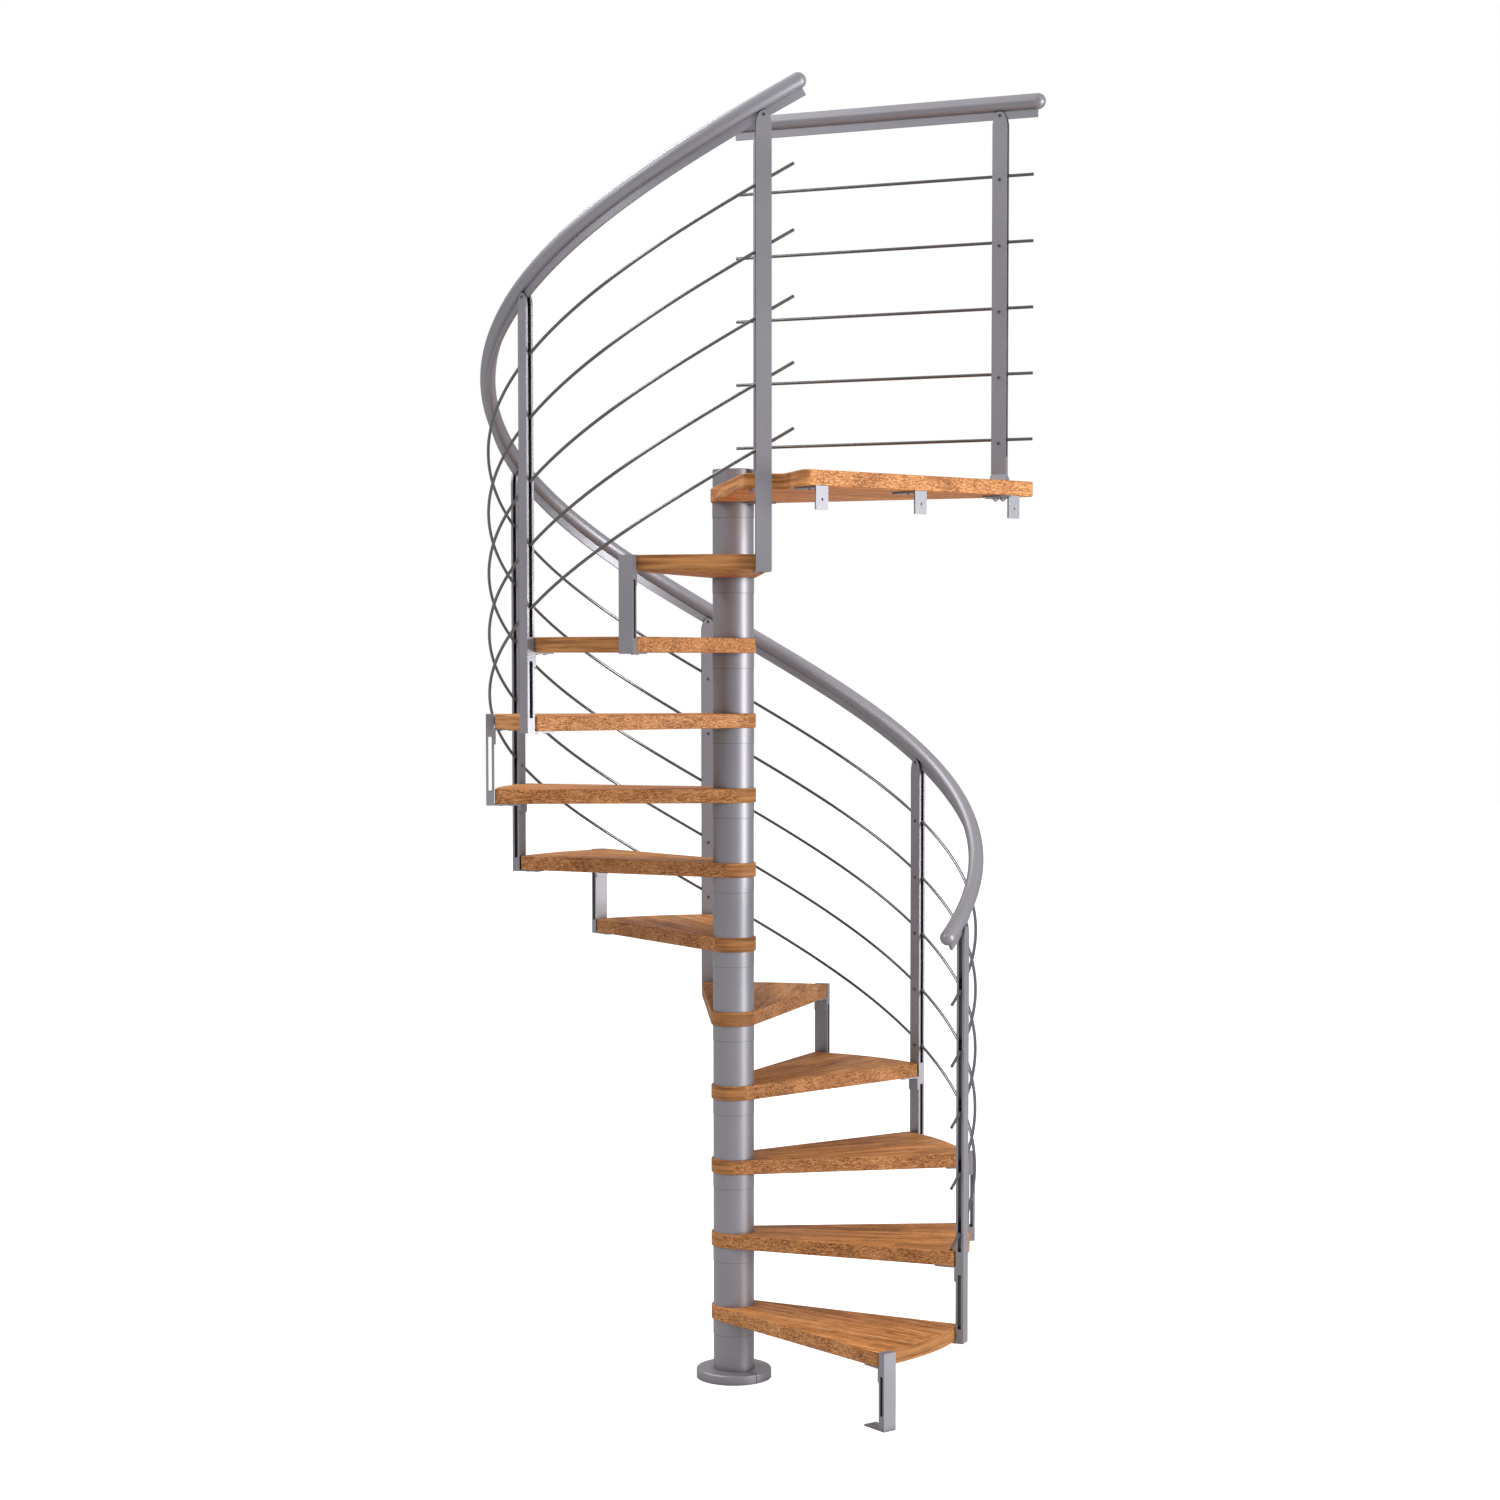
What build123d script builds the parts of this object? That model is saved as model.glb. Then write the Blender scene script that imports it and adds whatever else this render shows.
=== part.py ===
from build123d import *
import os
from math import atan2, cos, degrees, radians, sin, sqrt

os.makedirs("parts", exist_ok=True)

# Angles, in degrees
full_turn = 360.0
quarter_turn = 90.0
step_angle = 30.0
first_angle = -53.5
seam_angle = first_angle
platform_angle = -52.0
platform_half_angle = 29.5
tread_half_angle = 11.5

# Counts
tread_count = 11
rod_count = 5
anchor_count = 4
first_tall = 2
tall_every = 2

# Treads and platform
rise = 208.0
tread_thickness = 40.0
tread_radius = 663.0
hub_radius = 63.0
tread_corner = 12.0
wood_edge_round = 3.0
front_reach = 48.0
platform_corner = 10.0
notch_clear = 65.0
notch_side = 60.0
notch_flare = 18.0
notch_fillet = 22.0
notch_lip = 18.0
notch_entry = 12.0

# Centre pole
core_radius = 30.0
pole_radius = 57.2
pole_wall = 4.0
ring_height = 42.0
ring_lip = 0.9
cap_height = 52.0
cap_wall = 4.0
cap_round = 2.5
core_clear = 8.0

# Base
flange_radius = 95.0
flange_thickness = 10.0
anchor_circle = 156.0
anchor_hole = 12.0
cover_radius = 105.5
cover_height = 27.0
cover_wall = 3.0
cover_round = 5.0
cover_gap = 0.3
seam_gap = 0.5

# Balusters, each of two flat plates with a slot between them
plate_width = 40.0
plate_thickness = 6.0
slot_width = 10.0
plate_gap = 2.0
plate_point = 39.0
upper_block = 63.0
lower_block = 40.0
spacer_radius = 5.0
bracket_sheet = 4.5
bracket_reach = 60.0
bracket_drop = 44.0
bracket_round = 8.0
foot_hole = 7.0
foot_hole_near = 18.0
foot_hole_far = 44.0

# Handrails
rail_radius = 21.0
rail_height = 925.0
rail_clear = 26.0
keel_thickness = 8.6
keel_drop = 19.5
keel_root = 8.0
rail_start = 8.8
rail_end = 7.5

# Rods
rod_radius = 4.25
rod_first = 63.5
rod_top_drop = 198.7
rod_over = 6.6
rod_gap = 0.3

# Guard on the platform
guard_inset = 80.0
guard_near = 92.0
guard_far_inset = 78.6
guard_rod_first = 108.0
guard_rod_top_drop = 188.7
guard_rod_start = 18.0
guard_rod_over = 11.4
guard_rail_start = 17.0
guard_rail_over = 22.4
guard_rail_lift = 64.5
guard_rail_clear = 20.8
shoe_height = 16.0
shoe_spread = 4.5
guard_plate_side = 74.0
guard_plate_depth = 60.0
guard_plate_sheet = 5.0
guard_plate_gap = 2.0

# Brackets that tie the platform to the upper floor
tie_middle = 60.5
tie_spread = 332.5
tie_width = 40.0
tie_sheet = 5.0
tie_reach = 90.0
tie_drop = 60.0
tie_hole = 7.0
tie_hole_drop = 34.0

# Sizes that follow from those above
helix_pitch = rise * full_turn / step_angle
platform_level = (tread_count + 1) * rise
last_post = tread_count + 1
plate_inner = tread_radius + plate_gap
plate_mid = plate_inner + plate_thickness + slot_width / 2
plate_stack = 2 * plate_thickness + slot_width
helix_slope = atan2(rise, radians(step_angle) * plate_mid)
rod_spacing = (rail_height - rod_top_drop - rod_first) / (rod_count - 1)
platform_front = tread_radius + front_reach
platform_reach = notch_clear + bracket_reach
platform_side = radians(platform_half_angle)
edge_length = (platform_front + hub_radius * sin(platform_side)) / cos(platform_side)
guard_angle = platform_angle + platform_half_angle
guard_far = edge_length - guard_far_inset
guard_rod_end = edge_length + guard_rod_over
guard_rail_end = edge_length + guard_rail_over
guard_rail_height = rail_height + guard_rail_lift
guard_rod_spacing = (guard_rail_height - guard_rod_top_drop - guard_rod_first) / (rod_count - 1)
tie_places = (tie_middle - tie_spread, tie_middle, tie_middle + tie_spread)


def post_angle(number):
    return first_angle + step_angle * (number - 1)


def level_plane(angle, height):
    a = radians(angle)
    return Plane(origin=(0, 0, height), x_dir=(cos(a), sin(a), 0), z_dir=(0, 0, 1))


def radial_plane(angle, radius):
    a = radians(angle)
    spot = (radius * cos(a), radius * sin(a), 0)
    return Plane(origin=spot, x_dir=(-sin(a), cos(a), 0), z_dir=(cos(a), sin(a), 0))


def tangent_plane(angle):
    a = radians(angle)
    return Plane(origin=(0, 0, 0), x_dir=(cos(a), sin(a), 0), z_dir=(sin(a), -cos(a), 0))


def save(piece, name):
    piece.label = name
    export_step(piece, "parts/" + name + ".step")


# Base flange that the centre tube stands on
with BuildPart() as base_flange:
    with BuildSketch(level_plane(first_angle, 0)):
        Circle(flange_radius)
        with PolarLocations(anchor_circle / 2, anchor_count, step_angle):
            Circle(anchor_hole / 2, mode=Mode.SUBTRACT)
    extrude(amount=flange_thickness)
save(base_flange.part, "base_flange")

# Two half covers over the flange, with the seam towards the front
with BuildPart() as base_cover:
    for turn in (0, full_turn / 2):
        with BuildSketch(level_plane(seam_angle + turn, 0)):
            Circle(cover_radius)
            Circle(pole_radius + cover_gap, mode=Mode.SUBTRACT)
            with Locations((0, -cover_radius + seam_gap / 2)):
                Rectangle(2 * cover_radius, 2 * cover_radius, mode=Mode.SUBTRACT)
        extrude(amount=cover_height)
    cover_rim = base_cover.edges().filter_by(GeomType.CIRCLE).group_by(Axis.Z)[-1]
    fillet(cover_rim.group_by(SortBy.RADIUS)[-1], radius=cover_round)
    with BuildSketch(Plane.XY):
        Circle(cover_radius - cover_wall)
    extrude(amount=cover_height - cover_wall, mode=Mode.SUBTRACT)
save(base_cover.part, "base_cover")

# Tube inside the pole that carries the stack
core_top = platform_level + cap_height - core_clear
with BuildPart() as centre_tube:
    with BuildSketch(Plane.XY.offset(flange_thickness)):
        Circle(core_radius)
    extrude(amount=core_top - flange_thickness)
save(centre_tube.part, "centre_tube")

# Sleeves between the treads, each with a slightly wider ring on top
with BuildPart() as pole_sleeves:
    for number in range(tread_count + 1):
        foot = number * rise if number else flange_thickness
        head = (number + 1) * rise - tread_thickness - ring_height
        with BuildSketch(Plane.XY.offset(foot)):
            Circle(pole_radius)
            Circle(pole_radius - pole_wall, mode=Mode.SUBTRACT)
        extrude(amount=head - foot)
save(pole_sleeves.part, "pole_sleeves")

with BuildPart() as height_rings:
    for number in range(tread_count + 1):
        foot = (number + 1) * rise - tread_thickness - ring_height
        with BuildSketch(Plane.XY.offset(foot)):
            Circle(pole_radius + ring_lip)
            Circle(pole_radius - pole_wall, mode=Mode.SUBTRACT)
        extrude(amount=ring_height)
save(height_rings.part, "height_rings")

# Closed cap over the top of the pole
with BuildPart() as pole_cap:
    with BuildSketch(Plane.XY.offset(platform_level)):
        Circle(pole_radius)
    extrude(amount=cap_height)
    fillet(pole_cap.edges().group_by(Axis.Z)[-1], radius=cap_round)
    with BuildSketch(Plane.XY.offset(platform_level)):
        Circle(pole_radius - cap_wall)
    extrude(amount=cap_height - cap_wall, mode=Mode.SUBTRACT)
save(pole_cap.part, "pole_cap")


# Wedge treads: straight edges run from the round hub to a curved outer edge
def make_tread(number):
    a = radians(tread_half_angle)
    reach = sqrt(tread_radius**2 - hub_radius**2)
    hub_left = (-hub_radius * sin(a), hub_radius * cos(a))
    hub_right = (-hub_radius * sin(a), -hub_radius * cos(a))
    end_left = (hub_left[0] + reach * cos(a), hub_left[1] + reach * sin(a))
    end_right = (end_left[0], -end_left[1])
    plan_angle = post_angle(number) + step_angle / 2
    with BuildPart() as tread:
        with BuildSketch(level_plane(plan_angle, number * rise - tread_thickness)) as plan:
            with BuildLine():
                Line(hub_left, end_left)
                ThreePointArc(end_left, (tread_radius, 0), end_right)
                Line(end_right, hub_right)
                ThreePointArc(hub_right, (-hub_radius, 0), hub_left)
            make_face()
            outer_corners = plan.vertices().sort_by_distance((tread_radius, 0, 0))[:2]
            fillet(outer_corners, radius=tread_corner)
        extrude(amount=tread_thickness)
        rims = tread.edges().group_by(Axis.Z)[-1] + tread.edges().group_by(Axis.Z)[0]
        fillet(rims, radius=wood_edge_round)
        with BuildSketch(Plane.XY.offset(number * rise - tread_thickness)):
            Circle(core_radius)
        extrude(amount=tread_thickness, mode=Mode.SUBTRACT)
    return tread.part


for number in range(1, tread_count + 1):
    save(make_tread(number), "tread_" + str(number).zfill(2))


# Platform: a wide wedge with a notch that the last tall baluster rises through
def turned(angle, along, across):
    a = radians(angle)
    return (along * cos(a) - across * sin(a), along * sin(a) + across * cos(a))


def meet(point, angle, other, other_angle):
    a = (cos(radians(angle)), sin(radians(angle)))
    b = (cos(radians(other_angle)), sin(radians(other_angle)))
    gap = (other[0] - point[0], other[1] - point[1])
    length = (gap[0] * b[1] - gap[1] * b[0]) / (a[0] * b[1] - a[1] * b[0])
    return (point[0] + a[0] * length, point[1] + a[1] * length)


notch_turn = post_angle(last_post) - full_turn - platform_angle
lead_hub = turned(-platform_half_angle, 0, -hub_radius)
trail_hub = turned(platform_half_angle, 0, hub_radius)
notch_foot = turned(notch_turn, plate_inner - notch_clear, notch_side)
notch_mouth = turned(notch_turn, platform_front, notch_side + notch_flare)
flare_angle = degrees(atan2(notch_mouth[1] - notch_foot[1], notch_mouth[0] - notch_foot[0]))
lead_end = meet(lead_hub, -platform_half_angle, notch_foot, notch_turn + quarter_turn)
front_near = meet(notch_foot, flare_angle, (platform_front, 0), quarter_turn)
front_far = meet(trail_hub, platform_half_angle, (platform_front, 0), quarter_turn)
with BuildPart() as platform:
    with BuildSketch(level_plane(platform_angle, platform_level - tread_thickness)) as platform_plan:
        with BuildLine():
            Polyline(lead_hub, lead_end, notch_foot, front_near, front_far, trail_hub)
            ThreePointArc(trail_hub, (-hub_radius, 0), lead_hub)
        make_face()
        for corner, corner_round in (
            (lead_end, notch_entry),
            (notch_foot, notch_fillet),
            (front_near, notch_lip),
            (front_far, platform_corner),
        ):
            corner_point = platform_plan.vertices().sort_by_distance((corner[0], corner[1], 0))[0]
            fillet(corner_point, radius=corner_round)
    extrude(amount=tread_thickness)
    rims = platform.edges().group_by(Axis.Z)[-1] + platform.edges().group_by(Axis.Z)[0]
    fillet(rims, radius=wood_edge_round)
    with BuildSketch(Plane.XY.offset(platform_level - tread_thickness)):
        Circle(core_radius)
    extrude(amount=tread_thickness, mode=Mode.SUBTRACT)
save(platform.part, "platform")


# Baluster of two plates joined by a block and by the spacers that carry the rods
def make_post(plane, foot, head, pointed, block, spacers, leg):
    shoulder = head - plate_point if pointed else head
    half = plate_width / 2
    with BuildPart() as post:
        for depth, start in ((0, foot + leg), (plate_thickness + slot_width, foot)):
            with BuildSketch(plane.offset(depth)):
                with BuildLine():
                    Line((-half, shoulder), (-half, start))
                    Line((-half, start), (half, start))
                    Line((half, start), (half, shoulder))
                    if pointed:
                        EllipticalCenterArc((0, shoulder), half, plate_point, 0, arc_size=full_turn / 2)
                    else:
                        Line((half, shoulder), (-half, shoulder))
                make_face()
            extrude(amount=plate_thickness)
        with BuildSketch(plane.offset(plate_thickness)):
            with Locations((0, block - upper_block / 2)):
                Rectangle(plate_width, upper_block)
            for height in spacers:
                with Locations((0, height)):
                    Circle(spacer_radius)
        extrude(amount=slot_width)
    return post.part


def tread_foot(number):
    return (number - 1) * rise - tread_thickness - bracket_sheet if number > 1 else 0


spacer_drop = (rod_radius + spacer_radius + rod_gap) / cos(helix_slope)
for number in range(1, last_post + 1):
    tall = number >= first_tall and (number - first_tall) % tall_every == 0
    if number > 1 and not tall:
        continue
    head = number * rise + rail_height - rail_clear if tall else number * rise
    lowest = number * rise + rod_first - spacer_drop
    rods_here = [lowest + rod_spacing * i for i in range(rod_count)] if tall else []
    plane = radial_plane(post_angle(number), plate_inner)
    post = make_post(plane, tread_foot(number), head, tall, number * rise, rods_here, bracket_sheet)
    save(post, "tall_baluster_" + str(number).zfill(2) if tall else "floor_post")

with BuildPart() as short_balusters:
    for number in range(first_tall + 1, last_post, tall_every):
        plane = radial_plane(post_angle(number), plate_inner)
        add(make_post(plane, tread_foot(number), number * rise, False, number * rise, [], bracket_sheet))
save(short_balusters.part, "short_balusters")


# Angle bracket in each slot: its foot reaches in under the tread
def lower_bracket(number):
    foot = tread_foot(number)
    with BuildPart() as bracket:
        with BuildSketch(tangent_plane(post_angle(number))):
            with Locations((plate_mid, foot + lower_block / 2)):
                Rectangle(slot_width, lower_block)
            leg = bracket_reach + plate_thickness
            with Locations((plate_inner + plate_thickness - leg / 2, foot + bracket_sheet / 2)):
                Rectangle(leg, bracket_sheet)
        extrude(amount=plate_width / 2, both=True)
    return bracket.part


with BuildPart() as lower_brackets:
    for number in range(2, last_post + 1):
        add(lower_bracket(number))
save(lower_brackets.part, "lower_brackets")

with BuildPart() as floor_foot:
    add(lower_bracket(1))
    with BuildSketch(level_plane(first_angle, 0)):
        with Locations((plate_inner - foot_hole_near, 0), (plate_inner - foot_hole_far, 0)):
            Circle(foot_hole / 2)
    extrude(amount=bracket_sheet, mode=Mode.SUBTRACT)
save(floor_foot.part, "floor_foot")


# Angle bracket on the inner plate, under the front corner of each tread
def upper_bracket(number):
    head = number * rise - tread_thickness
    reach = platform_reach if number == last_post else bracket_reach
    with BuildPart() as bracket:
        with BuildSketch(tangent_plane(post_angle(number))):
            with Locations((plate_inner - bracket_sheet / 2, head - bracket_drop / 2)):
                Rectangle(bracket_sheet, bracket_drop)
            with Locations((plate_inner - reach / 2, head - bracket_sheet / 2)):
                Rectangle(reach, bracket_sheet)
        extrude(amount=plate_width / 2, both=True)
        low = bracket.faces().sort_by(Axis.Z)[0].edges().sort_by(SortBy.LENGTH)[:2]
        fillet(low, radius=bracket_round)
    return bracket.part


with BuildPart() as upper_brackets:
    for number in range(1, last_post + 1):
        add(upper_bracket(number))
save(upper_brackets.part, "upper_brackets")


# Helix at the baluster line, a given height above the line of the tread tops
def helix_level(angle, height):
    return (angle - post_angle(0)) / step_angle * rise + height


def helix_path(start, end, height):
    climb = helix_pitch * (end - start) / full_turn
    with BuildLine() as path:
        Helix(helix_pitch, climb, plate_mid, (0, 0, helix_level(start, height)))
    return path.wires()[0].rotate(Axis.Z, start)


def helix_frame(angle, height):
    a = radians(angle)
    tangent = (-sin(a) * cos(helix_slope), cos(a) * cos(helix_slope), sin(helix_slope))
    spot = (plate_mid * cos(a), plate_mid * sin(a), helix_level(angle, height))
    return Plane(origin=spot, x_dir=(cos(a), sin(a), 0), z_dir=tangent)


def rail_profile():
    Circle(rail_radius)
    with Locations((0, rail_radius + keel_drop / 2 - keel_root / 2)):
        Rectangle(keel_thickness, keel_drop + keel_root)


# Curved handrail: a round tube with a flat keel that sits between the plates
rail_from = post_angle(first_tall) - rail_start
rail_to = post_angle(last_post) + rail_end
with BuildPart() as handrail:
    with BuildSketch(helix_frame(rail_from, rail_height)):
        rail_profile()
    sweep(path=helix_path(rail_from, rail_to, rail_height), is_frenet=True)
save(handrail.part, "handrail")

# Five curved rods that lie on the spacers between the plates
rod_from = post_angle(first_tall) - rod_over
rod_to = post_angle(last_post) + rod_over
for i in range(rod_count):
    height = rod_first + rod_spacing * i
    with BuildPart() as stair_rod:
        with BuildSketch(helix_frame(rod_from, height)):
            Circle(rod_radius)
        sweep(path=helix_path(rod_from, rod_to, height), is_frenet=True)
    save(stair_rod.part, "stair_rod_" + str(i + 1))


# Guard along the back edge of the platform
def guard_plane(along, inset):
    a = radians(guard_angle)
    side = hub_radius - inset
    spot = (along * cos(a) - side * sin(a), along * sin(a) + side * cos(a), 0)
    return Plane(origin=spot, x_dir=(-cos(a), -sin(a), 0), z_dir=(-sin(a), cos(a), 0))


def guard_cross(along, height):
    a = radians(guard_angle)
    side = hub_radius - guard_inset
    spot = (along * cos(a) - side * sin(a), along * sin(a) + side * cos(a), height)
    return Plane(origin=spot, x_dir=(-sin(a), cos(a), 0), z_dir=(cos(a), sin(a), 0))


guard_spacer_drop = rod_radius + spacer_radius + rod_gap
guard_head = platform_level + guard_rail_height - guard_rail_clear
for along, name in ((guard_near, "guard_post_inner"), (guard_far, "guard_post_outer")):
    lowest = platform_level + guard_rod_first - guard_spacer_drop
    spacers = [lowest + guard_rod_spacing * i for i in range(rod_count)]
    plane = guard_plane(along, guard_inset + plate_stack / 2)
    with BuildPart() as guard_post:
        add(make_post(plane, platform_level, guard_head, True, platform_level + upper_block, spacers, 0))
        spot = guard_plane(along, guard_inset).origin
        shoe_frame = Plane(origin=spot, x_dir=plane.x_dir, z_dir=(0, 0, 1))
        with BuildSketch(shoe_frame.offset(platform_level)):
            Rectangle(plate_width + 2 * shoe_spread, plate_stack + 2 * shoe_spread)
        with BuildSketch(shoe_frame.offset(platform_level + shoe_height)):
            Rectangle(plate_width, plate_stack)
        loft()
    save(guard_post.part, name)

# Clamp plates under the guard posts, the outer one cut clear of the last tie
under = platform_level - tread_thickness
inner_side = 2 * (guard_near - pole_radius - ring_lip - guard_plate_gap)
with BuildPart() as guard_plates:
    for along, side in ((guard_near, inner_side), (guard_far, guard_plate_side)):
        spot = guard_plane(along, guard_inset)
        frame = Plane(origin=spot.origin, x_dir=spot.x_dir, z_dir=(0, 0, 1))
        with BuildSketch(frame.offset(under)):
            Rectangle(side, guard_plate_depth)
        extrude(amount=-guard_plate_sheet)
    with BuildSketch(level_plane(platform_angle, under)):
        with Locations((platform_front, tie_places[-1])):
            Rectangle(2 * tie_reach, tie_width + 2 * guard_plate_gap)
        with Locations((platform_front, tie_places[-1] + tie_width)):
            Rectangle(2 * tie_reach, tie_width)
    extrude(amount=-guard_plate_sheet, mode=Mode.SUBTRACT)
save(guard_plates.part, "guard_plates")

with BuildPart() as guard_rods:
    for i in range(rod_count):
        height = platform_level + guard_rod_first + guard_rod_spacing * i
        with BuildSketch(guard_cross(guard_rod_start, height)):
            Circle(rod_radius)
        extrude(amount=guard_rod_end - guard_rod_start)
save(guard_rods.part, "guard_rods")

with BuildPart() as guard_rail:
    with BuildSketch(guard_cross(guard_rail_start, platform_level + guard_rail_height)):
        Circle(rail_radius)
        with Locations((0, -rail_radius - keel_drop / 2 + keel_root / 2)):
            Rectangle(keel_thickness, keel_drop + keel_root)
    extrude(amount=guard_rail_end - guard_rail_start)
save(guard_rail.part, "guard_rail")


# Domed caps on the four rail ends
def end_cap(frame, outward):
    with BuildPart() as cap:
        with BuildSketch(Plane(origin=frame.origin, x_dir=frame.x_dir, z_dir=frame.y_dir)):
            with BuildLine():
                Line((0, 0), (rail_radius, 0))
                CenterArc((0, 0), rail_radius, 0, -outward * quarter_turn)
                Line((0, -outward * rail_radius), (0, 0))
            make_face()
        revolve(axis=Axis(frame.origin, frame.z_dir))
    return cap.part


with BuildPart() as rail_caps:
    add(end_cap(helix_frame(rail_from, rail_height), -1))
    add(end_cap(helix_frame(rail_to, rail_height), 1))
    add(end_cap(guard_cross(guard_rail_start, platform_level + guard_rail_height), -1))
    add(end_cap(guard_cross(guard_rail_end, platform_level + guard_rail_height), 1))
save(rail_caps.part, "rail_caps")

# Brackets under the front edge of the platform, with a hole for the floor screw
for place, name in zip(tie_places, ("floor_tie_left", "floor_tie_middle", "floor_tie_right")):
    with BuildPart() as floor_tie:
        with BuildSketch(level_plane(platform_angle, under)):
            with Locations((platform_front - tie_reach / 2, place)):
                Rectangle(tie_reach, tie_width)
        extrude(amount=-tie_sheet)
        with BuildSketch(level_plane(platform_angle, under)):
            with Locations((platform_front - tie_sheet / 2, place)):
                Rectangle(tie_sheet, tie_width)
        extrude(amount=-tie_drop)
        with BuildSketch(radial_plane(platform_angle, platform_front)):
            with Locations((place, under - tie_hole_drop)):
                Circle(tie_hole / 2)
        extrude(amount=-tie_sheet, mode=Mode.SUBTRACT)
    save(floor_tie.part, name)
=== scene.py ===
import math

import bmesh
import bpy
from mathutils import Matrix, Vector


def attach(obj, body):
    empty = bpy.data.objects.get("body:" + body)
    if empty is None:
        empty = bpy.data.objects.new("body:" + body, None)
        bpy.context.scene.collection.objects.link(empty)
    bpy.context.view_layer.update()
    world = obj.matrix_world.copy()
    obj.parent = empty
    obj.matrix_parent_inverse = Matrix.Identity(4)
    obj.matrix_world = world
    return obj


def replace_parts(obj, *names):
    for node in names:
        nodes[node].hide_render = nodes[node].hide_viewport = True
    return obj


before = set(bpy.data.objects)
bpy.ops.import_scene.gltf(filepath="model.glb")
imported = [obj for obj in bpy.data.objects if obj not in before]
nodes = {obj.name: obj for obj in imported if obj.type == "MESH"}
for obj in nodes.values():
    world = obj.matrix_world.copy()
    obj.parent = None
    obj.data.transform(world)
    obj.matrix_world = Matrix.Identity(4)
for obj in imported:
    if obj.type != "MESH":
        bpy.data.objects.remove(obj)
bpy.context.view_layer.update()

# Layout of the stair, in metres and degrees, as in the part's source
RISE = 0.208
STEP = 30.0
FIRST_ANGLE = -53.5
TREADS = 11
TREAD_THICKNESS = 0.040
PLATFORM_ANGLE = -52.0
PLATFORM_LEVEL = RISE * (TREADS + 1)
PLATFORM_FRONT = 0.711
NOTCH_RADIUS = 0.600

# Balusters: the two faces of the pair of plates, the bracket's sheet, the height of a tall one's head
PLATE_INNER = 0.665
PLATE_OUTER = 0.687
BRACKET_SHEET = 0.0045
TALL_POSTS = (2, 4, 6, 8, 10, 12)
POST_HEAD = 0.899

# Handrail and rods on the helix, with heights above the treads' line
HELIX_RADIUS = 0.676
RAIL_RADIUS = 0.021
RAIL_HEIGHT = 0.925
RAIL_FROM = -32.3
RAIL_TO = 284.0
KEEL_HALF = 0.0043
KEEL_DEPTH = 0.0405
RODS = 5
ROD_RADIUS = 0.00425
ROD_FIRST = 0.0635
ROD_SPACING = 0.1657
ROD_FROM = -30.1
ROD_TO = 283.1

# Guard on the platform, and the brackets for the upper floor
GUARD_ANGLE = -22.5
GUARD_POSTS = (0.092, 0.774)
GUARD_FACE = -0.028
GUARD_BACK = -0.006
GUARD_LINE = -0.017
GUARD_HEAD = 0.9687
GUARD_ROD_FIRST = 0.108
GUARD_ROD_SPACING = 0.1732
CLAMP_SHEET = 0.005
TIE_PLACES = (-0.272, 0.0605, 0.393)
TIE_SHEET = 0.005

# Fasteners, and how far each sits below its rod or its post's head
SCREW_RADIUS = 0.0048
SCREW_HEIGHT = 0.0022
SCREW_SIDES = 24
SCREW_PROFILE = ((1.0, 0.0), (1.0, 0.45), (0.93, 0.78), (0.78, 0.95), (0.62, 1.0))
SOCKET_RADIUS = 0.0026
SOCKET_DEPTH = 0.0014
SCREW_DROP = 0.01107
GUARD_SCREW_DROP = 0.00955
HEAD_SCREW_DROP = 0.0105
WOOD_SCREW_INSETS = (0.018, 0.044)
NUT_RADIUS = 0.0075
NUT_HEIGHT = 0.0065
NUT_SIDES = 6
NUT_SPACING = 0.020
BOLT_RADIUS = 0.004
BOLT_END = 0.0035
BOLT_SIDES = 16

# Dark joint under each ring of the pole
RING_HEIGHT = 0.042
JOINT_RADIUS = 0.0574
JOINT_HEIGHT = 0.0016
JOINT_SIDES = 96

# Dark seam between the two halves of the foot's cover
COVER_RADIUS = 0.1055
COVER_HEIGHT = 0.027
COVER_ROUND = 0.005
SEAM_HALF = 0.0009
SEAM_LIFT = 0.0002
SEAM_BENDS = 6

# Small chamfers on the flat bars
BAR_NODES = ("tall_baluster", "short_balusters", "floor_post", "guard_post", "floor_tie")
EDGE_CHAMFER = 0.0012
EDGE_ANGLE = 50.0

# Smooth swept pieces
SHARP_ANGLE = 35.0
SWEEP_STEP = 1.5
RAIL_SIDES = 44
ROD_SIDES = 16

# Metals: colour, roughness and share of metal
SILVER_PAINT = ((0.275, 0.268, 0.293), 0.46, 0.6)
STAINLESS_ROD = ((0.145, 0.145, 0.151), 0.17, 1.0)
ZINC_PLATE = ((0.245, 0.245, 0.272), 0.38, 0.35)
SCREW_STEEL = ((0.17, 0.17, 0.19), 0.4, 0.8)
NUT_ZINC = ((0.70, 0.70, 0.74), 0.22, 1.0)
JOINT_SHADE = ((0.16, 0.157, 0.17), 0.5, 0.3)
# Near-black: painted shade inside the screws' sockets, and the dark seam of the foot's cover
SOCKET_SHADE_AND_SEAM = ((0.02, 0.02, 0.022), 0.6, 0.3)

# Texture of the metals: repeats in a metre and detail, then shares of the tone and of the roughness
METAL_GRAIN = (700.0, 2.0)
METAL_CLOUD = (5.0, 4.0)
METAL_TONES = ((0.3, 0.95), (0.7, 1.05))
METAL_GLOSS = ((0.25, 0.92), (0.75, 1.08))
METAL_BUMP = {"Strength": 0.03, "Distance": 0.0002}
# Painted shade: ambient occlusion darkens the metals' colour in slots, holes and corners
PAINTED_SHADE_REACH = 0.045
PAINTED_SHADE_SAMPLES = 16
PAINTED_SHADE_TONES = ((0.2, 0.2), (0.7, 1.0))
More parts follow.
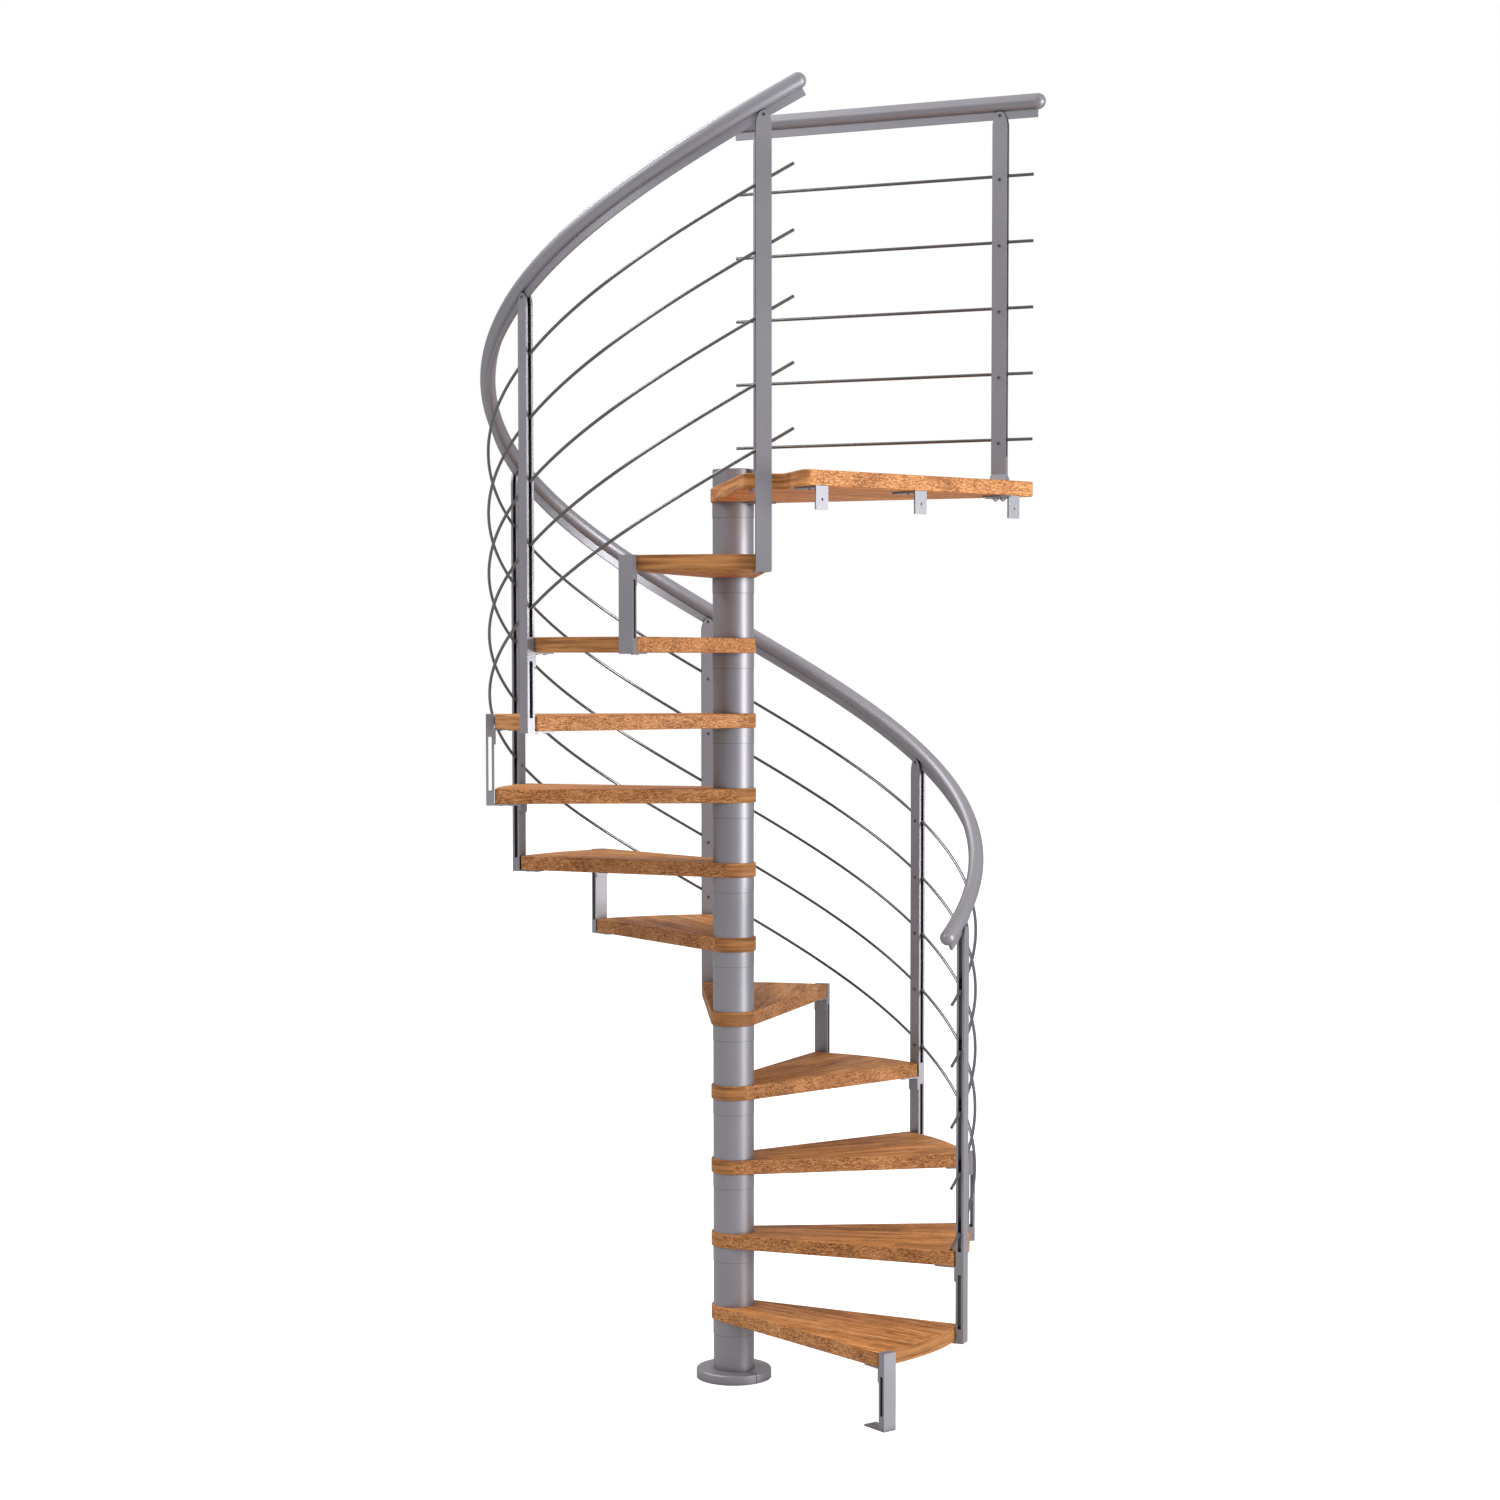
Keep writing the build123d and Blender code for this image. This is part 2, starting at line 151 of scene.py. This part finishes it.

# Oak: colours, the painted sheen of the sides, the painted shade of the underside, and the tone of each tread
# and the platform
WOOD_LIGHT = (0.68, 0.315, 0.115)
WOOD_MIDDLE = (0.51, 0.207, 0.056)
WOOD_BROWN = (0.31, 0.112, 0.031)
WOOD_DARK = (0.150, 0.052, 0.016)
# Painted sheen: the sides and ends are paler and bluer than the top
SIDE_SHEEN_TINT = (1.0, 1.10, 1.40)
UNDERSIDE_SHADE_TINT = (1.0, 0.88, 0.60)
WOOD_TONES = (1.06, 0.99, 0.92, 0.92, 0.80, 0.90, 0.94, 1.01, 1.12, 1.08, 0.95, 1.34)

# Figure of the oak: repeats in a metre along, across and up, then detail, roughness and distortion
WIDE_STREAKS = ((4.2, 56.0, 56.0), 4.0, 0.62, 0.5)
THIN_STREAKS = ((8.0, 165.0, 165.0), 4.0, 0.65, 0.2)
CURLS = ((48.0, 14.0, 14.0), 3.0, 0.6, 1.2)
PORES = ((17.0, 240.0, 240.0), 3.0, 0.6, 0.3)
CLOUDS = ((34.0, 34.0, 170.0), 5.0, 0.7, 2.2)
FLECKS = ((90.0, 90.0, 400.0), 3.0, 0.6, 1.6)
PATCHES = ((11.0, 11.0, 14.0), 2.0, 0.55, 0.0)
BANDS = ((4.0, 4.0, 95.0), 4.0, 0.6, 0.25)
FIGURE_SHIFT = (1.37, 0.61, 0.83)

# How the layers of the oak's figure add up, and where its colours change
STREAK_WEIGHTS = (0.60, 0.25, 0.15)
STREAK_STOPS = (0.40, 0.47, 0.51, 0.59)
PORE_TONES = ((0.36, 0.40), (0.46, 1.0))
BLOTCH_WEIGHTS = (0.38, 0.62, 0.14)
BLOTCH_STOPS = (0.415, 0.475, 0.535, 0.60)
PATCH_MIDDLE = 0.5
BAND_STOPS = (0.38, 0.52, 0.66)
BAND_TONES = (0.70, 0.72, 1.0)
STAVE_LENGTH = 0.42
STAVE_WIDTH = 0.045
STAVE_STAGGER = 0.37
STAVE_TONES = ((0.0, 0.76), (1.0, 1.14))
GLUE_WIDTH = 0.0002
GLUE_TONE = 0.35
WOOD_GLOSS = ((0.3, 0.56), (0.7, 0.46))
WOOD_BUMP = {"Strength": 0.25, "Distance": 0.0005}
WOOD_SHINE = 0.12

# Parts of a face's normal over which the flat faces, the ends and the underside's painted shade take over
FLAT_RANGE = (0.55, 0.8)
END_RANGE = (0.29, 0.42)
UNDERSIDE_SHADE_RANGE = (0.5, 0.8)

# Camera fitted to the photograph
CAM_DISTANCE = 7.4834
CAM_HEIGHT = 2.0159
CAM_PITCH = 3.109
CAM_YAW = 0.355
CAM_ROLL = 0.034
CAM_LENS = 64.379
CAM_SENSOR = 36.0
CAM_SHIFT = 0.03815

# Lamps
KEY_ANGLE = -27.0
KEY_DISTANCE = 9.0
KEY_HEIGHT = 1.6
KEY_SIZE = (2.3, 4.2)
KEY_POWER = 650.0
TOP_ANGLE = 155.0
TOP_DISTANCE = 4.3
TOP_HEIGHT = 7.8
TOP_SIZE = (2.6, 2.6)
TOP_POWER = 260.0
FRONT_ANGLE = -145.0
FRONT_DISTANCE = 6.5
FRONT_HEIGHT = 6.3
FRONT_SIZE = (2.4, 2.4)
FRONT_POWER = 145.0
AIM = (0.0, 0.0, 1.7)

# Floor: its tone, and the glow that the camera and the reflections see
FLOOR_HALF = 30.0
FLOOR_TONE = 0.47
FLOOR_GLOW = 0.84
FLOOR_SHEEN = 0.15

# Room that lights the stair: tones from the left back to the right front, then the back and the sky
ROOM_LEAN = (0.42, -0.27)
ROOM_MIDDLE = 0.5
ROOM_TONES = (
    (0.0, (0.44, 0.435, 0.45)),
    (0.2, (0.39, 0.385, 0.40)),
    (0.4, (0.25, 0.247, 0.26)),
    (0.75, (0.40, 0.395, 0.41)),
    (1.0, (0.55, 0.54, 0.56)),
)
BACK_TONE = (0.25, 0.246, 0.257, 1.0)
BACK_RANGE = (0.15, 0.75)
SKY_TONE = (0.80, 0.787, 0.79, 1.0)
SKY_RANGE = (0.12, 0.85)
ROOM_STRENGTH = 1.37

scene = bpy.context.scene
scene.view_settings.view_transform = "Standard"


# Shaders
def grey(tone):
    return (tone, tone, tone, 1.0)


def tinted(colour, share):
    return tuple(c * share for c in colour)


def with_side_sheen(colour):
    return tuple(c * tint for c, tint in zip(colour, SIDE_SHEEN_TINT))


class Tree:
    """Small helper to wire a shader's nodes."""

    def __init__(self, owner):
        owner.use_nodes = True
        self.owner = owner
        self.tree = owner.node_tree
        self.tree.nodes.clear()

    def node(self, kind, inputs=None, **settings):
        made = self.tree.nodes.new(kind)
        for key, value in settings.items():
            setattr(made, key, value)
        for key, value in (inputs or {}).items():
            if isinstance(value, bpy.types.NodeSocket):
                self.tree.links.new(value, made.inputs[key])
            else:
                made.inputs[key].default_value = value
        return made

    def math(self, operation, a, b=None):
        inputs = {0: a} if b is None else {0: a, 1: b}
        return self.node("ShaderNodeMath", inputs, operation=operation).outputs[0]

    def weigh(self, values, weights):
        """Adds up values by their weights."""
        total = None
        for value, weight in zip(values, weights):
            share = self.math("MULTIPLY", value, weight)
            total = share if total is None else self.math("ADD", total, share)
        return total

    def ramp(self, factor, stops):
        """Runs through the tones or colours at the given places."""
        made = self.node("ShaderNodeValToRGB", {0: factor})
        bar = made.color_ramp
        while len(bar.elements) < len(stops):
            bar.elements.new(1.0)
        for element, (place, colour) in zip(bar.elements, stops):
            element.position = place
            element.color = grey(colour) if isinstance(colour, float) else (*colour, 1.0)
        return made.outputs[0]

    def fade(self, factor, start, end):
        return self.ramp(factor, ((start, 0.0), (end, 1.0)))

    def mix(self, factor, a, b, blend="MIX"):
        inputs = {0: factor, 6: a, 7: b}
        return self.node("ShaderNodeMix", inputs, data_type="RGBA", blend_type=blend).outputs[2]

    def multiply(self, a, b):
        return self.mix(1.0, a, b, "MULTIPLY")

    def noise(self, vector, scale, detail, rough=0.55, distortion=0.0):
        inputs = {"Vector": vector, "Scale": scale, "Detail": detail, "Roughness": rough,
                  "Distortion": distortion}
        return self.node("ShaderNodeTexNoise", inputs).outputs["Fac"]

    def stretch(self, vector, scale, place):
        inputs = {"Vector": vector, "Scale": scale, "Location": place}
        return self.node("ShaderNodeMapping", inputs).outputs[0]

    def turn(self, vector, angle):
        inputs = {"Vector": vector, "Rotation": (0.0, 0.0, math.radians(angle))}
        return self.node("ShaderNodeMapping", inputs).outputs[0]

    def glow(self, strength):
        inputs = {"Color": grey(1.0), "Strength": strength}
        return self.node("ShaderNodeEmission", inputs).outputs[0]

    def add(self, a, b):
        return self.node("ShaderNodeAddShader", {0: a, 1: b}).outputs[0]

    def choose(self, factor, a, b):
        return self.node("ShaderNodeMixShader", {0: factor, 1: a, 2: b}).outputs[0]

    def surface(self, shader, kind="ShaderNodeOutputMaterial"):
        self.node(kind, {"Surface": shader})
        return self.owner


def metal_material(name, colour, rough, metallic):
    """Painted or bare metal with a fine grain, faint clouds, and painted shade darkening its nooks."""
    t = Tree(bpy.data.materials.new(name))
    spot = t.node("ShaderNodeTexCoord").outputs["Object"]
    grain = t.noise(spot, *METAL_GRAIN)
    cloud = t.noise(spot, *METAL_CLOUD)
    shade = t.ramp(cloud, [(place, tinted(colour, share)) for place, share in METAL_TONES])
    # Painted shade: the colour is darkened where ambient occlusion finds nearby surfaces, in slots, holes and
    # corners
    painted_shade_ao = t.node("ShaderNodeAmbientOcclusion", {"Distance": PAINTED_SHADE_REACH}, samples=PAINTED_SHADE_SAMPLES)
    shade = t.multiply(shade, t.ramp(painted_shade_ao.outputs["AO"], PAINTED_SHADE_TONES))
    gloss = t.ramp(cloud, [(place, rough * share) for place, share in METAL_GLOSS])
    bump = t.node("ShaderNodeBump", {"Height": grain, **METAL_BUMP})
    inputs = {"Base Color": shade, "Roughness": gloss, "Metallic": metallic, "Normal": bump.outputs[0]}
    return t.surface(t.node("ShaderNodeBsdfPrincipled", inputs).outputs[0])


def wood_material(name, grain_angle, seed, tone):
    """Oiled oak: long streaks on the flat faces, a mottled side and banded ends."""
    t = Tree(bpy.data.materials.new(name))
    coords = t.node("ShaderNodeTexCoord")
    local = t.turn(coords.outputs["Object"], -grain_angle)
    normal = t.node("ShaderNodeSeparateXYZ", {0: t.turn(coords.outputs["Normal"], -grain_angle)}).outputs
    flat = t.fade(t.math("ABSOLUTE", normal[2]), *FLAT_RANGE)
    end = t.fade(t.math("ABSOLUTE", normal[0]), *END_RANGE)
    place = tuple(seed * shift for shift in FIGURE_SHIFT)

    def figure(repeats, detail, rough, distortion):
        return t.noise(t.stretch(local, repeats, place), 1.0, detail, rough, distortion)

    # Long streaks on the top and the underside, in glued staves
    light, middle, brown, dark = (tinted(c, tone) for c in (WOOD_LIGHT, WOOD_MIDDLE, WOOD_BROWN, WOOD_DARK))
    layers = [figure(*layer) for layer in (WIDE_STREAKS, THIN_STREAKS, CURLS)]
    streaks = t.weigh(layers, STREAK_WEIGHTS)
    top = t.ramp(streaks, tuple(zip(STREAK_STOPS, (brown, middle, middle, light))))
    top = t.multiply(top, t.ramp(figure(*PORES), PORE_TONES))
    staves = t.node("ShaderNodeTexBrick", {
        "Vector": t.stretch(local, (1.0, 1.0, 1.0), place), "Scale": 1.0,
        "Brick Width": STAVE_LENGTH, "Row Height": STAVE_WIDTH, "Mortar Size": GLUE_WIDTH,
        "Color1": grey(0.0), "Color2": grey(1.0), "Mortar": grey(GLUE_TONE)}, offset=STAVE_STAGGER)
    top = t.multiply(top, t.ramp(staves.outputs["Color"], STAVE_TONES))

    # Mottled long side
    # Painted sheen: the side's and the ends' colours are made paler and bluer
    light, middle, brown, dark = (with_side_sheen(c) for c in (light, middle, brown, dark))
    patches = t.math("SUBTRACT", figure(*PATCHES), PATCH_MIDDLE)
    blotch = t.weigh((figure(*CLOUDS), figure(*FLECKS), patches), BLOTCH_WEIGHTS)
    side = t.ramp(blotch, tuple(zip(BLOTCH_STOPS, (dark, brown, middle, light))))

    # Bands round the curved ends
    bands = figure(*BANDS)
    band_colours = [tinted(c, share) for c, share in zip((brown, middle, middle), BAND_TONES)]
    ends = t.ramp(bands, tuple(zip(BAND_STOPS, band_colours)))

    # Painted shade: faces turned down get a darker, more saturated colour
    below = t.math("MULTIPLY", normal[2], -1.0)
    underside_shade = t.ramp(below, tuple(zip(UNDERSIDE_SHADE_RANGE, ((1.0, 1.0, 1.0), UNDERSIDE_SHADE_TINT))))
    colour = t.multiply(t.mix(flat, t.mix(end, side, ends), top), underside_shade)
    relief = t.mix(flat, t.mix(end, blotch, bands), streaks)
    gloss = t.ramp(relief, WOOD_GLOSS)
    bump = t.node("ShaderNodeBump", {"Height": relief, **WOOD_BUMP})
    inputs = {"Base Color": colour, "Roughness": gloss, "Normal": bump.outputs[0],
              "Specular IOR Level": WOOD_SHINE}
    return t.surface(t.node("ShaderNodeBsdfPrincipled", inputs).outputs[0])


# Materials of the CAD pieces
def dress(name, material):
    mesh = nodes[name].data
    mesh.materials.clear()
    mesh.materials.append(material)


paint = metal_material("silver_paint", *SILVER_PAINT)
steel = metal_material("stainless_rod", *STAINLESS_ROD)
zinc = metal_material("zinc_plate", *ZINC_PLATE)
screw_steel = metal_material("screw_steel", *SCREW_STEEL)
nut_zinc = metal_material("nut_zinc", *NUT_ZINC)
joint_shade = metal_material("joint_shade", *JOINT_SHADE)
socket_shade_and_seam = metal_material("socket_shade_and_seam", *SOCKET_SHADE_AND_SEAM)

for k in range(1, TREADS + 1):
    tread_angle = FIRST_ANGLE + STEP * (k - 0.5)
    dress("tread_%02d" % k, wood_material("oak_%02d" % k, tread_angle, k, WOOD_TONES[k - 1]))
dress("platform", wood_material("oak_platform", PLATFORM_ANGLE + 90.0, TREADS + 1, WOOD_TONES[TREADS]))
for name in nodes:
    if name.startswith(("stair_rod", "guard_rods")):
        dress(name, steel)
    elif name.startswith("floor_tie"):
        dress(name, zinc)
    elif not name.startswith(("tread_", "platform")):
        dress(name, paint)

# Small chamfers on the flat bars
for name in nodes:
    if name.startswith(BAR_NODES):
        chamfer = nodes[name].modifiers.new("soft_edges", "BEVEL")
        chamfer.width = EDGE_CHAMFER
        chamfer.segments = 1
        chamfer.limit_method = "ANGLE"
        chamfer.angle_limit = math.radians(EDGE_ANGLE)


# Places on the stair
def turned(angle, along, across, height):
    a = math.radians(angle)
    return Vector((along * math.cos(a) - across * math.sin(a),
                   along * math.sin(a) + across * math.cos(a), height))


def polar(angle, radius, height):
    return turned(angle, radius, 0.0, height)


def along_guard(along, side, height):
    return turned(GUARD_ANGLE, along, side, height)


def along_front(depth, across, height):
    return turned(PLATFORM_ANGLE, depth, across, height)


def post_angle(number):
    return FIRST_ANGLE + STEP * (number - 1)


def facing(spot, normal):
    """Frame at a spot with +Z along the normal."""
    return Matrix.Translation(spot) @ Vector(normal).to_track_quat("Z", "Y").to_matrix().to_4x4()


# Meshes
def ring(mesh, radius, height, count):
    return [mesh.verts.new(polar(360.0 * i / count, radius, height)) for i in range(count)]


def skirt(mesh, low, high, material=0):
    count = len(low)
    for i in range(count):
        face = mesh.faces.new((low[i], low[(i + 1) % count], high[(i + 1) % count], high[i]))
        face.material_index = material


def arc(radius, start, end, count):
    """Points in a plane, on an arc from one angle to another."""
    angles = [math.radians(start + (end - start) / count * i) for i in range(count + 1)]
    return [(radius * math.cos(a), radius * math.sin(a)) for a in angles]


def finish_mesh(mesh, name):
    data = bpy.data.meshes.new(name)
    mesh.to_mesh(data)
    mesh.free()
    return data


def settle(data, materials):
    """Makes a piece of the stair from a mesh."""
    for material in materials:
        data.materials.append(material)
    data.shade_smooth()
    data.set_sharp_from_angle(angle=math.radians(SHARP_ANGLE))
    piece = bpy.data.objects.new(data.name, data)
    scene.collection.objects.link(piece)
    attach(piece, "root")
    return piece


def scatter(name, unit, frames, materials):
    """Joins copies of a small mesh at the given frames into one piece."""
    mesh = bmesh.new()
    for place in frames:
        copy = unit.copy()
        copy.transform(place)
        mesh.from_mesh(copy)
        bpy.data.meshes.remove(copy)
    return settle(finish_mesh(mesh, name), materials)


def screw_mesh(name):
    """Low domed head with a round socket, along +Z; the socket has the second material, a near-black painted
    shade in the recess.
    """
    mesh = bmesh.new()
    rings = [ring(mesh, SCREW_RADIUS * wide, SCREW_HEIGHT * high, SCREW_SIDES) for wide, high in SCREW_PROFILE]
    for low, high in zip(rings, rings[1:]):
        skirt(mesh, low, high)
    mouth = ring(mesh, SOCKET_RADIUS, SCREW_HEIGHT, SCREW_SIDES)
    skirt(mesh, rings[-1], mouth)
    bottom = ring(mesh, SOCKET_RADIUS, SCREW_HEIGHT - SOCKET_DEPTH, SCREW_SIDES)
    skirt(mesh, mouth, bottom, 1)
    # Painted shade: the socket's walls and bottom take the near-black second material
    mesh.faces.new(bottom).material_index = 1
    return finish_mesh(mesh, name)


def nut_mesh(name):
    """Hexagon nut on a bolt end, along +Z."""
    mesh = bmesh.new()
    for radius, foot, head, sides in (
        (NUT_RADIUS, 0.0, NUT_HEIGHT, NUT_SIDES),
        (BOLT_RADIUS, NUT_HEIGHT, NUT_HEIGHT + BOLT_END, BOLT_SIDES),
    ):
        low = ring(mesh, radius, foot, sides)
        high = ring(mesh, radius, head, sides)
        skirt(mesh, low, high)
        mesh.faces.new(high)
    return finish_mesh(mesh, name)


def sweep_mesh(name, outline, start, end, height):
    """Carries an outline, as steps outward and up, square to the stair's helix."""
    mesh = bmesh.new()
    count = round((end - start) / SWEEP_STEP)
    rings = []
    for i in range(count + 1):
        angle = start + (end - start) * i / count
        out = polar(angle, 1.0, 0.0)
        ahead = polar(angle + 90.0, HELIX_RADIUS, RISE / math.radians(STEP)).normalized()
        up = out.cross(ahead)
        level = (angle - post_angle(0)) / STEP * RISE + height
        centre = polar(angle, HELIX_RADIUS, level)
        rings.append([mesh.verts.new(centre + out * a + up * b) for a, b in outline])
    for low, high in zip(rings, rings[1:]):
        skirt(mesh, low, high)
    mesh.faces.new(rings[0])
    mesh.faces.new(rings[-1])
    bmesh.ops.recalc_face_normals(mesh, faces=mesh.faces)
    return finish_mesh(mesh, name)


# Dark joint under each ring of the pole
joints = bmesh.new()
for number in range(1, TREADS + 2):
    ring_foot = number * RISE - TREAD_THICKNESS - RING_HEIGHT
    low = ring(joints, JOINT_RADIUS, ring_foot - JOINT_HEIGHT, JOINT_SIDES)
    high = ring(joints, JOINT_RADIUS, ring_foot, JOINT_SIDES)
    skirt(joints, low, high)
settle(finish_mesh(joints, "pole_joints"), (joint_shade,))

# Dark seam between the two halves of the foot's cover, from the floor up to the pole
seam = bmesh.new()
seam_line = [(COVER_RADIUS + SEAM_LIFT, 0.0)]
seam_line += [(COVER_RADIUS - COVER_ROUND + a, COVER_HEIGHT - COVER_ROUND + b)
              for a, b in arc(COVER_ROUND + SEAM_LIFT, 0.0, 90.0, SEAM_BENDS)]
seam_line.append((JOINT_RADIUS, COVER_HEIGHT + SEAM_LIFT))
for turn in (0.0, 180.0):
    aside = polar(FIRST_ANGLE + turn + 90.0, SEAM_HALF, 0.0)
    spots = [polar(FIRST_ANGLE + turn, radius, height) for radius, height in seam_line]
    left, right = ([seam.verts.new(spot + shift) for spot in spots] for shift in (aside, -aside))
    for i in range(len(spots) - 1):
        seam.faces.new((left[i], right[i], right[i + 1], left[i + 1]))
settle(finish_mesh(seam, "cover_seam"), (socket_shade_and_seam,))

# Smooth handrail and rods in place of the faceted ones
root_angle = math.degrees(math.asin(KEEL_HALF / RAIL_RADIUS))
rail_outline = arc(RAIL_RADIUS, -90.0 + root_angle, 270.0 - root_angle, RAIL_SIDES)
rail_outline += [(-KEEL_HALF, -KEEL_DEPTH), (KEEL_HALF, -KEEL_DEPTH)]
rail_mesh = sweep_mesh("smooth_handrail", rail_outline, RAIL_FROM, RAIL_TO, RAIL_HEIGHT)
rail = settle(rail_mesh, (paint,))
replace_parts(rail, "handrail")
rod_outline = arc(ROD_RADIUS, 0.0, 360.0, ROD_SIDES)[:-1]
for i in range(RODS):
    rod_height = ROD_FIRST + ROD_SPACING * i
    bar = sweep_mesh("smooth_rod_%d" % (i + 1), rod_outline, ROD_FROM, ROD_TO, rod_height)
    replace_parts(settle(bar, (steel,)), "stair_rod_%d" % (i + 1))

# Screws in the plates of the tall balusters and the guard's posts: at each rod, and two at the head
plate_screws = []
for number in TALL_POSTS:
    angle = post_angle(number)
    inward = polar(angle, -1.0, 0.0)
    for i in range(RODS):
        height = number * RISE + ROD_FIRST + ROD_SPACING * i - SCREW_DROP
        plate_screws.append(facing(polar(angle, PLATE_INNER, height), inward))
    height = number * RISE + POST_HEAD - HEAD_SCREW_DROP
    plate_screws.append(facing(polar(angle, PLATE_INNER, height), inward))
    plate_screws.append(facing(polar(angle, PLATE_OUTER, height), -inward))
guard_out = along_guard(0.0, -1.0, 0.0)
for along in GUARD_POSTS:
    for i in range(RODS):
        height = PLATFORM_LEVEL + GUARD_ROD_FIRST + GUARD_ROD_SPACING * i - GUARD_SCREW_DROP
        plate_screws.append(facing(along_guard(along, GUARD_FACE, height), guard_out))
    height = PLATFORM_LEVEL + GUARD_HEAD - HEAD_SCREW_DROP
    plate_screws.append(facing(along_guard(along, GUARD_FACE, height), guard_out))
    plate_screws.append(facing(along_guard(along, GUARD_BACK, height), -guard_out))
screw = screw_mesh("plate_screw")
scatter("plate_screws", screw, plate_screws, (screw_steel, socket_shade_and_seam))

# Screws up into the wood through the brackets at both ends of the balusters and at the upper floor
down = (0.0, 0.0, -1.0)
wood_screws = []
for number in range(1, TREADS + 2):
    angle = post_angle(number)
    top_leg = number * RISE - TREAD_THICKNESS - BRACKET_SHEET
    start = PLATE_INNER if number <= TREADS else NOTCH_RADIUS
    for inset in WOOD_SCREW_INSETS:
        wood_screws.append(facing(polar(angle, start - inset, top_leg), down))
        if number > 1:
            wood_screws.append(facing(polar(angle, PLATE_INNER - inset, top_leg - RISE), down))
under_tie = PLATFORM_LEVEL - TREAD_THICKNESS - TIE_SHEET
for across in TIE_PLACES:
    for inset in WOOD_SCREW_INSETS:
        wood_screws.append(facing(along_front(PLATFORM_FRONT - TIE_SHEET - inset, across, under_tie), down))
scatter("bracket_screws", screw, wood_screws, (screw_steel, socket_shade_and_seam))

# Nuts under the clamp plates of the guard's posts
under_clamp = PLATFORM_LEVEL - TREAD_THICKNESS - CLAMP_SHEET
nuts = []
for along in GUARD_POSTS:
    for shift in (-NUT_SPACING / 2, NUT_SPACING / 2):
        nuts.append(facing(along_guard(along + shift, GUARD_LINE, under_clamp), down))
scatter("clamp_nuts", nut_mesh("clamp_nut"), nuts, (nut_zinc,))

# Floor: white to the camera apart from the shadow
floor_mesh = bpy.data.meshes.new("floor")
corners = [(-1, -1), (1, -1), (1, 1), (-1, 1)]
floor_mesh.from_pydata([(x * FLOOR_HALF, y * FLOOR_HALF, 0.0) for x, y in corners], [], [(0, 1, 2, 3)])
floor = bpy.data.objects.new("floor", floor_mesh)
scene.collection.objects.link(floor)
t = Tree(bpy.data.materials.new("floor"))
plain = t.node("ShaderNodeBsdfDiffuse", {"Color": grey(FLOOR_TONE)}).outputs[0]
ray = t.node("ShaderNodeLightPath").outputs
lit = t.choose(ray["Is Glossy Ray"], plain, t.add(plain, t.glow(FLOOR_SHEEN)))
lit = t.choose(ray["Is Camera Ray"], lit, t.add(plain, t.glow(FLOOR_GLOW)))
floor_mesh.materials.append(t.surface(lit))

# Studio light: white to the camera, softer and darker at the back for the reflections
scene.world = bpy.data.worlds.new("studio")
t = Tree(scene.world)
direction = t.node("ShaderNodeSeparateXYZ", {0: t.node("ShaderNodeTexCoord").outputs["Generated"]}).outputs
lean = t.weigh((direction[0], direction[1]), ROOM_LEAN)
room = t.ramp(t.math("ADD", lean, ROOM_MIDDLE), ROOM_TONES)
room = t.mix(t.fade(direction[1], *BACK_RANGE), room, BACK_TONE)
room = t.mix(t.fade(direction[2], *SKY_RANGE), room, SKY_TONE)
studio = t.node("ShaderNodeBackground", {"Color": room, "Strength": ROOM_STRENGTH}).outputs[0]
white = t.node("ShaderNodeBackground", {"Color": grey(1.0), "Strength": 1.0}).outputs[0]
ray = t.node("ShaderNodeLightPath").outputs
t.surface(t.choose(ray["Is Camera Ray"], studio, white), "ShaderNodeOutputWorld")


def area_light(name, spot, size, power):
    data = bpy.data.lights.new(name, "AREA")
    data.shape = "RECTANGLE"
    data.size, data.size_y = size
    data.energy = power
    lamp = bpy.data.objects.new(name, data)
    scene.collection.objects.link(lamp)
    lamp.matrix_world = facing(spot, spot - Vector(AIM))


area_light("key", polar(KEY_ANGLE, KEY_DISTANCE, KEY_HEIGHT), KEY_SIZE, KEY_POWER)
area_light("top", polar(TOP_ANGLE, TOP_DISTANCE, TOP_HEIGHT), TOP_SIZE, TOP_POWER)
area_light("front", polar(FRONT_ANGLE, FRONT_DISTANCE, FRONT_HEIGHT), FRONT_SIZE, FRONT_POWER)

camera_data = bpy.data.cameras.new("camera")
camera_data.lens = CAM_LENS
camera_data.sensor_width = CAM_SENSOR
camera_data.sensor_fit = "HORIZONTAL"
camera_data.shift_y = CAM_SHIFT
camera = bpy.data.objects.new("camera", camera_data)
scene.collection.objects.link(camera)
camera.matrix_world = (
    Matrix.Translation((0.0, -CAM_DISTANCE, CAM_HEIGHT))
    @ Matrix.Rotation(math.radians(-CAM_YAW), 4, "Z")
    @ Matrix.Rotation(math.radians(90.0 - CAM_PITCH), 4, "X")
    @ Matrix.Rotation(math.radians(-CAM_ROLL), 4, "Z")
)
scene.camera = camera
